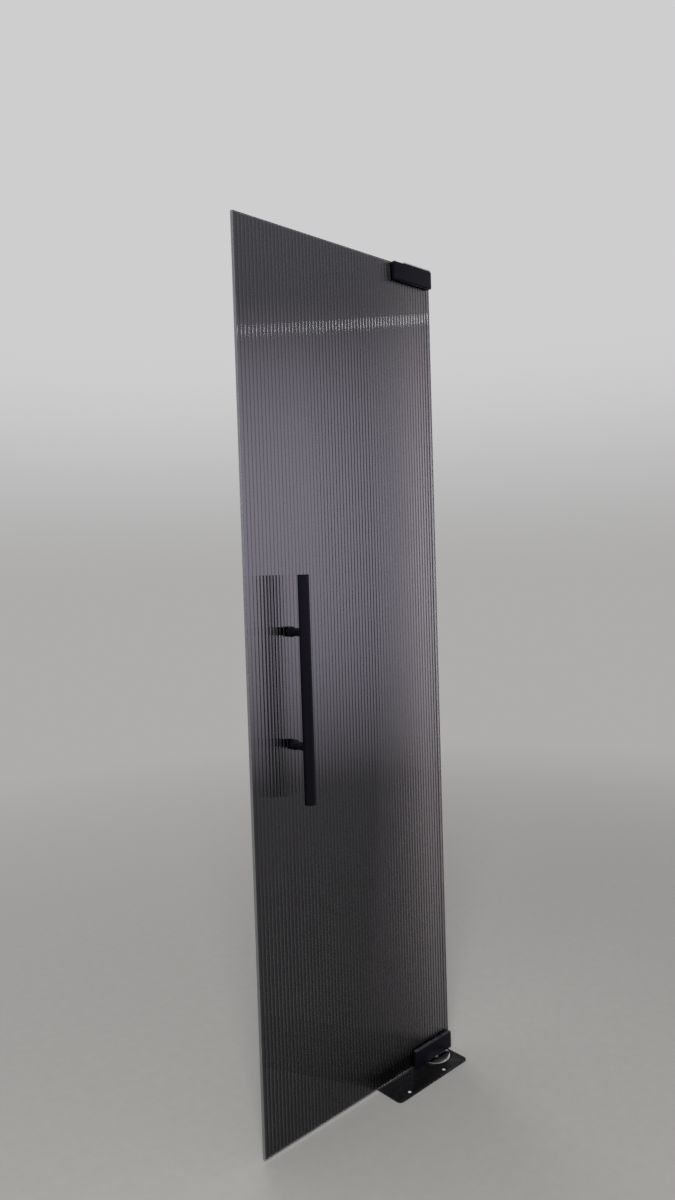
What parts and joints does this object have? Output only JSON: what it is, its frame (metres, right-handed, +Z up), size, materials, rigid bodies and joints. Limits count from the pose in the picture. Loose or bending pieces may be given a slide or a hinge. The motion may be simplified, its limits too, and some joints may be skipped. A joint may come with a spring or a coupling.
{
  "type": "glass entrance door",
  "caption": "Frameless fluted glass door leaf with patch fittings and pull handles, swinging both ways on a floor spring and a top pivot.",
  "frame": {"origin": "on the pivot axis, at the underside of the case that is set in the floor; the finished floor is 52 mm above it", "axes": "+Z up along the pivot axis, -Y towards the side with the flutes, the leaf reaching from the axis towards -X when shut"},
  "size_m": [0.734, 0.174, 2.489],
  "materials": {
    "fluted_glass": "grey tinted, fluted on one face, ground edges",
    "black_metal": "satin black powder coat",
    "black_plate": "semi-gloss black",
    "steel": "turned steel",
    "bright_ring": "satin stainless steel",
    "dark_screw": "black oxide",
    "alloy": "cast, as machined",
    "iron": "painted casting",
    "zinc_sheet": "zinc plated sheet",
    "fibre_gasket": "dull black",
    "nylon": "natural nylon",
    "seal_rubber": "matt"
  },
  "bodies": {
    "fixed_fittings": {"closer_body": "iron", "closer_end_plug": "steel", "closer_lid": "steel", "closer_lid_screws": "steel", "cover_plate": "black_plate", "cover_plate_screws": "steel", "floor_case": "zinc_sheet", "levelling_screws": "steel", "spindle_bearing": "steel", "spindle_ring": "bright_ring", "spindle_seal": "seal_rubber", "thrust_washer": "steel", "top_pivot_pin": "steel", "top_pivot_plate": "zinc_sheet", "valve_screws": "steel"},
    "leaf": {"bottom_patch_clamp_screws": "steel", "bottom_patch_cover_screws": "dark_screw", "bottom_patch_front_clamp": "alloy", "bottom_patch_front_cover": "black_metal", "bottom_patch_gaskets": "fibre_gasket", "bottom_patch_rear_clamp": "alloy", "bottom_patch_rear_cover": "black_metal", "closer_spindle": "steel", "front_handle_bar": "black_metal", "front_handle_bases": "black_metal", "front_handle_end_plugs": "black_metal", "front_handle_posts": "black_metal", "glass_leaf": "fluted_glass", "handle_grub_screws": "dark_screw", "handle_sleeves": "nylon", "handle_studs": "steel", "handle_washers": "seal_rubber", "rear_handle_bar": "black_metal", "rear_handle_bases": "black_metal", "rear_handle_end_plugs": "black_metal", "rear_handle_posts": "black_metal", "spindle_socket": "steel", "top_patch_clamp_screws": "steel", "top_patch_cover_screws": "dark_screw", "top_patch_front_clamp": "alloy", "top_patch_front_cover": "black_metal", "top_patch_gaskets": "fibre_gasket", "top_patch_rear_clamp": "alloy", "top_patch_rear_cover": "black_metal", "top_pivot_bush": "nylon", "top_pivot_socket": "steel"}
  },
  "joints": [
    {"name": "leaf_swing", "type": "hinge", "parent": "fixed_fittings", "child": "leaf", "pos_m": [0, 0, 0], "axis": [0, 0, 1], "range_deg": [-90, 90], "stiffness_Nm_per_rad": 12}
  ]
}
